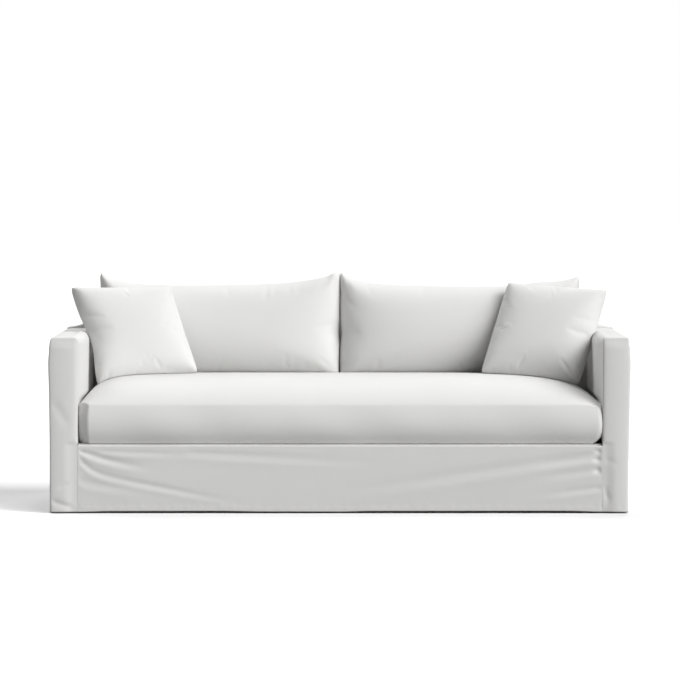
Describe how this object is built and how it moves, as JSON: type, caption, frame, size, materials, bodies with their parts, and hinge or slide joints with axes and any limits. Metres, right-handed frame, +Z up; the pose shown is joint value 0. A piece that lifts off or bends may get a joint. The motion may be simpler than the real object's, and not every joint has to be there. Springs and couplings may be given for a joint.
{
  "type": "sofa slipcover set with seat cushion, back cushions and throw pillows",
  "caption": "White loose canvas cover for a track-arm sofa, hollow and floor length, with its boxed seat cushion, knife-edge back cushions and corner throw pillows in place.",
  "frame": {"origin": "middle of the cover's footprint, at the height of its lowest hem", "axes": "+X along the sofa to a viewer's right, -Y out of the sofa's front, +Z up"},
  "size_m": [2.1848, 0.9638, 0.8763],
  "materials": {
    "cover_canvas": "matte washed cotton canvas, off-white, plain weave",
    "cushion_canvas": "matte washed cotton canvas, off-white, plain weave, filled"
  },
  "bodies": {
    "root": {"arm_front_left": "cover_canvas", "arm_front_right": "cover_canvas", "arm_inside_left": "cover_canvas", "arm_inside_right": "cover_canvas", "arm_outside_left": "cover_canvas", "arm_outside_right": "cover_canvas", "front_apron": "cover_canvas", "seat_deck": "cover_canvas", "inside_back": "cover_canvas", "outside_back": "cover_canvas", "seat_cushion": "cushion_canvas", "back_cushion_left": "cushion_canvas", "back_cushion_right": "cushion_canvas", "throw_pillow_left": "cushion_canvas", "throw_pillow_right": "cushion_canvas"}
  },
  "joints": []
}
